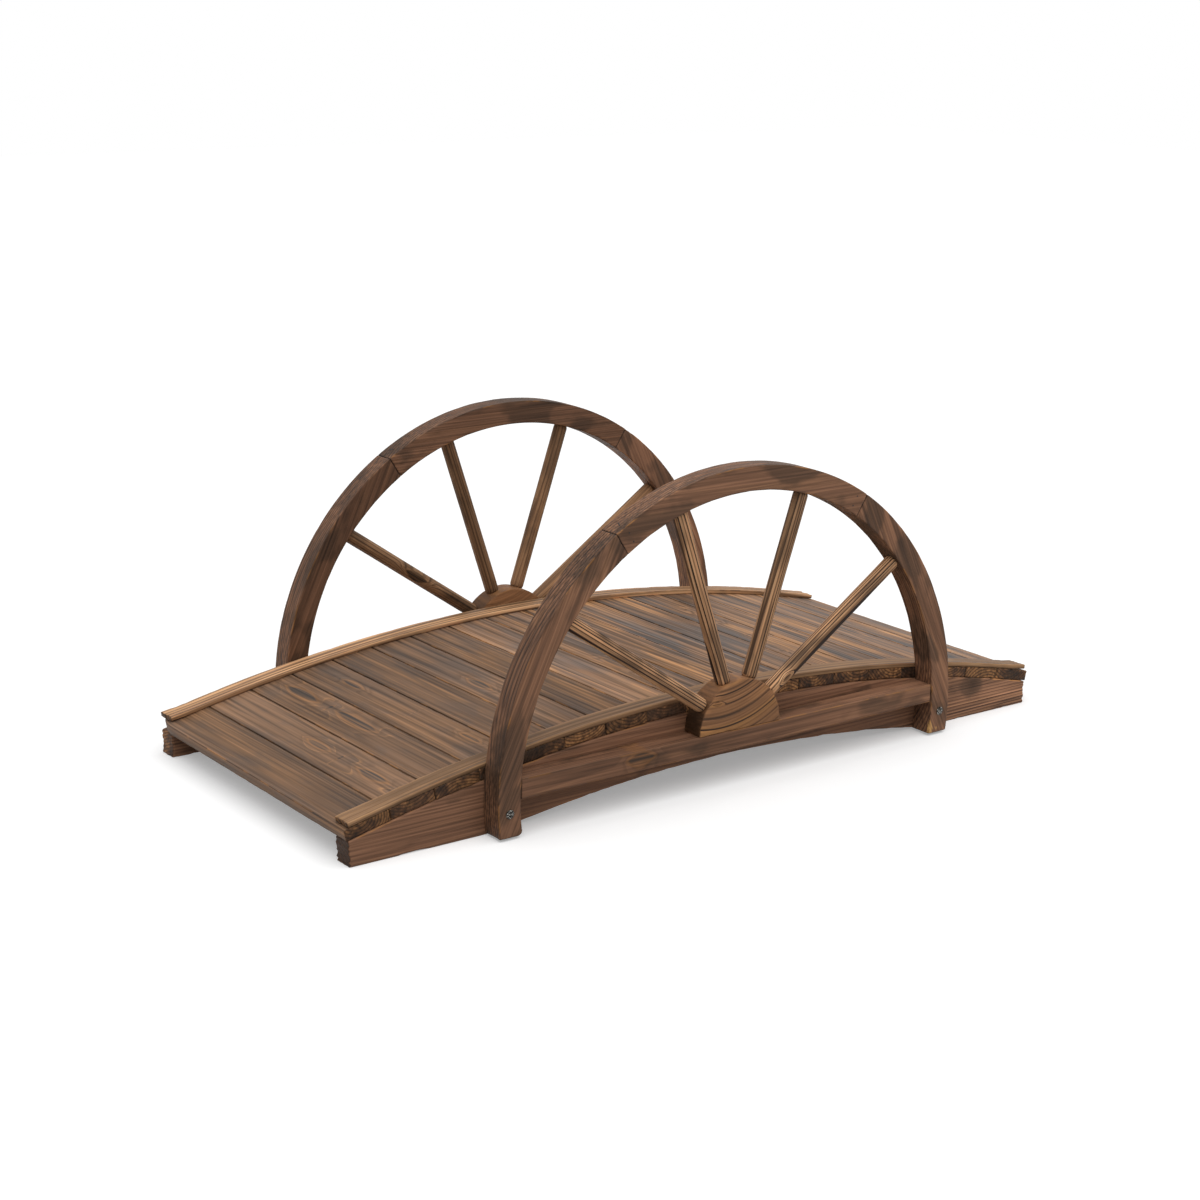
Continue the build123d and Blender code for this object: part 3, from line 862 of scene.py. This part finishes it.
# One head on each place, facing out from the bridge, at a turn of its own
screw_y = add(screw_tree, "SeparateXYZ", add(screw_tree, "InputPosition")).outputs["Y"]
facing = add(screw_tree, "Math SIGN", screw_y)
tip = add(screw_tree, "Math MULTIPLY", facing, -math.pi / 2)
twist = add(screw_tree, "RandomValue", {2: 0.0, 3: math.pi / 2, "Seed": 4}, data_type="FLOAT")
turn = add(screw_tree, "CombineXYZ", tip, twist.outputs[1])
driven = add(screw_tree, "InstanceOnPoints", given["Guide"], {"Instance": head, "Rotation": turn})
end_tree(screw_tree, driven, given["Finish"])

screw_nodes = [f"{side}_{hand}_screw" for side in sides for hand in ("left", "right")]
screw_places = []
for node in screw_nodes:
    low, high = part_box(node)
    seat = high.y if node.startswith("near") else low.y
    screw_places.append(((low.x + high.x) / 2, seat, (low.z + high.z) / 2))
screw_guide = bpy.data.meshes.new("screw_places")
screw_guide.from_pydata(screw_places, [], [])
screws = grow("leg_screws", screw_guide, screw_tree, finish=blackened_steel, **screw_sizes)
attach(screws, "root")
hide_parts(*screw_nodes)

# Staples and pins: a wire staple sunk across the tread of the rim beside each joint of the felloes, and two
# wire pins in the face, all of iron that is black with age. They show as short dark strokes and dots.
wire_radius = 0.9 * MM
wire_length = 7 * MM
wire_rust = 0.8 * MM
wire_proud = 0.3 * MM
wire_angle_off_joint = 0.042
staple_sunk = 0.5 * MM
staple_offset = 2 * MM
staple_slant = 0.5
pin_radii = (321.5 * MM, 309.5 * MM)
black_iron = bpy.data.materials.new("blackened_iron_wire")
iron_tree = bare_tree(black_iron)
iron_place = add(iron_tree, "TexCoord").outputs["Object"]
rust = add(iron_tree, "TexNoise", {"Vector": iron_place, "Scale": 1 / wire_rust})
iron_tint = add(iron_tree, "ValToRGB", rust,
                stops=[(0.35, linear("#191513")), (0.7, linear("#3a2d25"))])
iron = add(iron_tree, "BsdfPrincipled", {"Base Color": iron_tint, "Roughness": 0.7})
add(iron_tree, "OutputMaterial", iron)

wire_tree = new_tree("staples_and_pins", Float="Wire Radius, Wire Length")
given = add(wire_tree, "NodeGroupInput").outputs
wire_ends = []
for share in (-0.5, 0.5):
    wire_tip = add(wire_tree, "Math MULTIPLY", given["Wire Length"], share)
    wire_ends.append(add(wire_tree, "CombineXYZ", wire_tip))
wire_line = add(wire_tree, "CurvePrimitiveLine", *wire_ends)
wire_round = {"Resolution": 12, "Radius": given["Wire Radius"]}
wire_ring = add(wire_tree, "CurvePrimitiveCircle", wire_round).outputs["Curve"]
wire_bar = add(wire_tree, "CurveToMesh", wire_line, {"Profile Curve": wire_ring, "Fill Caps": True})
wire_turn = add(wire_tree, "InputNamedAttribute", "turn", data_type="FLOAT_VECTOR")
wires_set = add(wire_tree, "InstanceOnPoints", given["Guide"], {"Instance": wire_bar, "Rotation": wire_turn})
end_tree(wire_tree, wires_set, given["Finish"])

wire_places, wire_turns = [], []
for outward in sides.values():
    for hand in (-1, 1):
        a = hand * (joint_angle - wire_angle_off_joint)
        radial = Vector((math.sin(a), 0, math.cos(a)))
        tangent = Vector((math.cos(a), 0, -math.sin(a)))
        hub_axis = Vector((0, outward, 0))
        middle = Vector((0, outward * rim_y, wheel_centre))
        wire_places.append(middle + radial * (rim_radius - staple_sunk) + hub_axis * staple_offset)
        wire_turns.append((hub_axis + staple_slant * hand * tangent).to_track_quat("X", "Z").to_euler())
        for radius in pin_radii:
            pin_middle = rim_thickness / 2 + wire_proud - wire_length / 2
            wire_places.append(middle + radial * radius + hub_axis * pin_middle)
            wire_turns.append(hub_axis.to_track_quat("X", "Z").to_euler())
wire_guide = bpy.data.meshes.new("wire_places")
wire_guide.from_pydata([tuple(place) for place in wire_places], [], [])
turns = wire_guide.attributes.new("turn", "FLOAT_VECTOR", "POINT")
turns.data.foreach_set("vector", [angle for turn in wire_turns for angle in turn])
wires = grow(
    "joint_wires", wire_guide, wire_tree, finish=black_iron, wire_radius=wire_radius, wire_length=wire_length
)
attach(wires, "root")

# Floor and light: a matt white paper floor under a broad soft lamp. What the camera and the gloss show of
# the floor and the backdrop is lifted to white, while the floor keeps its shadow.
floor_reach = 9
floor_mesh = bpy.data.meshes.new("floor")
corners = [(x * floor_reach, y * floor_reach, 0) for x, y in ((-1, -1), (1, -1), (1, 1), (-1, 1))]
floor_mesh.from_pydata(corners, [], [(0, 1, 2, 3)])
floor = in_scene("floor", floor_mesh)


def seen_rays(tree):
    """One for a ray that shows the thing itself, nought for one that carries its light elsewhere."""
    rays = add(tree, "LightPath").outputs
    shown = add(tree, "Math MAXIMUM", rays["Is Camera Ray"], rays["Is Glossy Ray"])
    return add(tree, "Math MAXIMUM", shown, rays["Is Transmission Ray"])


paper = bpy.data.materials.new("white_paper_floor")
paper_tree = bare_tree(paper)
matt = add(paper_tree, "BsdfDiffuse", {"Color": linear("#e6e6e6")})
dull = add(paper_tree, "BsdfDiffuse", {"Color": linear("#a0a0a0")})
glow = add(paper_tree, "Emission", {"Color": linear("#ffffff"), "Strength": 0.3})
lit = add(paper_tree, "AddShader", matt, glow)
sheet = add(paper_tree, "MixShader", seen_rays(paper_tree), dull, lit)
add(paper_tree, "OutputMaterial", sheet)
floor_mesh.materials.append(paper)

world = bpy.data.worlds.new("studio")
bpy.context.scene.world = world
studio_tree = bare_tree(world)
dim = add(studio_tree, "Background", {"Color": linear("#ffffff"), "Strength": 0.5})
white = add(studio_tree, "Background", {"Color": linear("#ffffff"), "Strength": 1.0})
backdrop = add(studio_tree, "MixShader", seen_rays(studio_tree), dim, white)
add(studio_tree, "OutputWorld", backdrop)

lamp_data = bpy.data.lights.new("softbox", "SUN")
lamp_data.energy = 1.75
lamp_data.angle = math.radians(75)
lamp = in_scene("softbox", lamp_data)
lamp.rotation_euler = Vector((0.12, 0.3, -1)).to_track_quat("-Z", "Y").to_euler()

# Camera: at the place the bridge is seen from, a little above the deck and left of the near wheel. Its lens
# is given in pixels of the square picture, and it stands off a point in the middle of the bridge.
azimuth, elevation, roll = (math.radians(angle) for angle in (-36.333, 15.383, 0.790))
focal_pixels, image_pixels = 2229.46, 1200
sensor_mm = 36
pivot = Vector((0, 0, 185 * MM))
slide_right, slide_up, distance = 15.486 * MM, 23.287 * MM, 2693.47 * MM
flat_share = math.cos(elevation)
view_back = Vector((math.sin(azimuth) * flat_share, -math.cos(azimuth) * flat_share, math.sin(elevation)))
level_right = Vector((math.cos(azimuth), math.sin(azimuth), 0))
level_up = view_back.cross(level_right)
view_right = math.cos(roll) * level_right + math.sin(roll) * level_up
view_up = math.cos(roll) * level_up - math.sin(roll) * level_right
camera_data = bpy.data.cameras.new("camera")
camera_data.sensor_width = sensor_mm
camera_data.lens = sensor_mm * focal_pixels / image_pixels
camera = in_scene("camera", camera_data)
stand = pivot - slide_right * view_right - slide_up * view_up + distance * view_back
view_axes = Matrix((view_right, view_up, view_back)).transposed().to_4x4()
camera.matrix_world = Matrix.Translation(stand) @ view_axes
bpy.context.scene.camera = camera
bpy.context.scene.view_settings.view_transform = "Standard"
